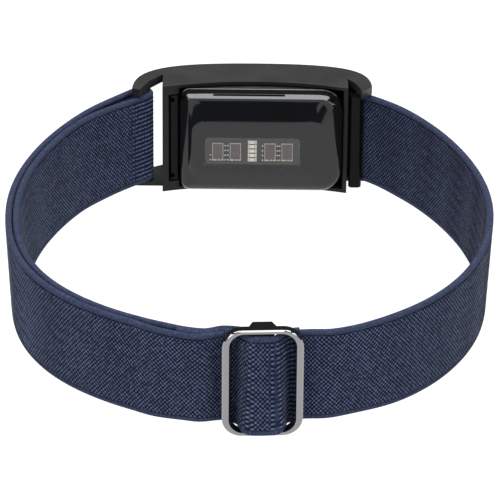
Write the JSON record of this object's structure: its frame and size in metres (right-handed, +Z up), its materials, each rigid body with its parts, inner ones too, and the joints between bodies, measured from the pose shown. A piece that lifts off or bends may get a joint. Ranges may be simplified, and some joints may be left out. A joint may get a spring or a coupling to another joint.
{
  "type": "fitness tracker band",
  "caption": "Elastic webbing loop band with a metal slider, and a plastic carrier frame that holds a clip-in tracker module with an optical sensor back.",
  "frame": {"origin": "on the ground under the middle of the whole band, which stands on the lower edges of its carrier frame and slider", "axes": "+Z up along the strap's width; +Y from the slider towards the tracker, so the sensor back faces -Y; +X to the right as seen from the slider"},
  "size_m": [0.0994, 0.1178, 0.0256],
  "materials": {
    "carrier_plastic": "fine satin moulded black",
    "latch_plastic": "satin moulded black",
    "clamp_plastic": "polished black",
    "pin_steel": "turned steel",
    "webbing": "navy bird's-eye elastic weave with smooth selvedges",
    "slider_metal": "satin front face, dark polished sides",
    "back_gloss": "high gloss black",
    "window_glass": "clear dark lens",
    "case_metal": "dark anodised, bright edge",
    "gasket_rubber": "matt",
    "display_glass": "black glass",
    "panel_black": "unlit display",
    "battery_foil": "foil pouch",
    "motor_steel": "plated can",
    "circuit_board": "solder mask",
    "optical_black": "matt black foam",
    "photodiode": "purple coated die with a pale gold frame",
    "emitter": "cream die on gold pads"
  },
  "bodies": {
    "band": {"carrier_frame": "carrier_plastic", "strap_bar": "pin_steel", "strap_end_clamp": "clamp_plastic", "latch_spring": "pin_steel", "strap_right_run": "webbing", "strap_left_outer": "webbing", "strap_left_fold": "webbing", "strap_left_inner": "webbing"},
    "latch": {"latch_slider": "latch_plastic"},
    "tracker": {"back_cover": "back_gloss", "sensor_window": "window_glass", "case_frame": "case_metal", "display_gasket": "gasket_rubber", "display_glass": "display_glass", "display_panel": "panel_black", "battery": "battery_foil", "vibration_motor": "motor_steel", "main_board": "circuit_board", "sensor_board": "circuit_board", "sensor_spacer": "circuit_board", "optical_barrier": "optical_black", "photodiode_1": "photodiode", "photodiode_2": "photodiode", "photodiode_3": "photodiode", "photodiode_4": "photodiode", "emitter_1": "emitter", "emitter_2": "emitter", "emitter_3": "emitter", "emitter_4": "emitter", "emitter_5": "emitter"},
    "slider": {"slider_buckle": "slider_metal", "strap_slider_pass": "webbing", "strap_sewn_end": "webbing"}
  },
  "joints": [
    {"name": "slider_travel", "type": "hinge", "parent": "band", "child": "slider", "pos_m": [0.00015, -0.00616, 0.0128], "axis": [0, 0, 1], "range_deg": [-8, 8]},
    {"name": "tracker_eject", "type": "slide", "parent": "band", "child": "tracker", "axis": [0, -1, 0], "range_m": [0, 0.014]},
    {"name": "latch_release", "type": "slide", "parent": "band", "child": "latch", "axis": [-1, 0, 0], "range_m": [0, 0.0004], "stiffness_N_per_m": 400, "springref_m": -0.0004}
  ]
}
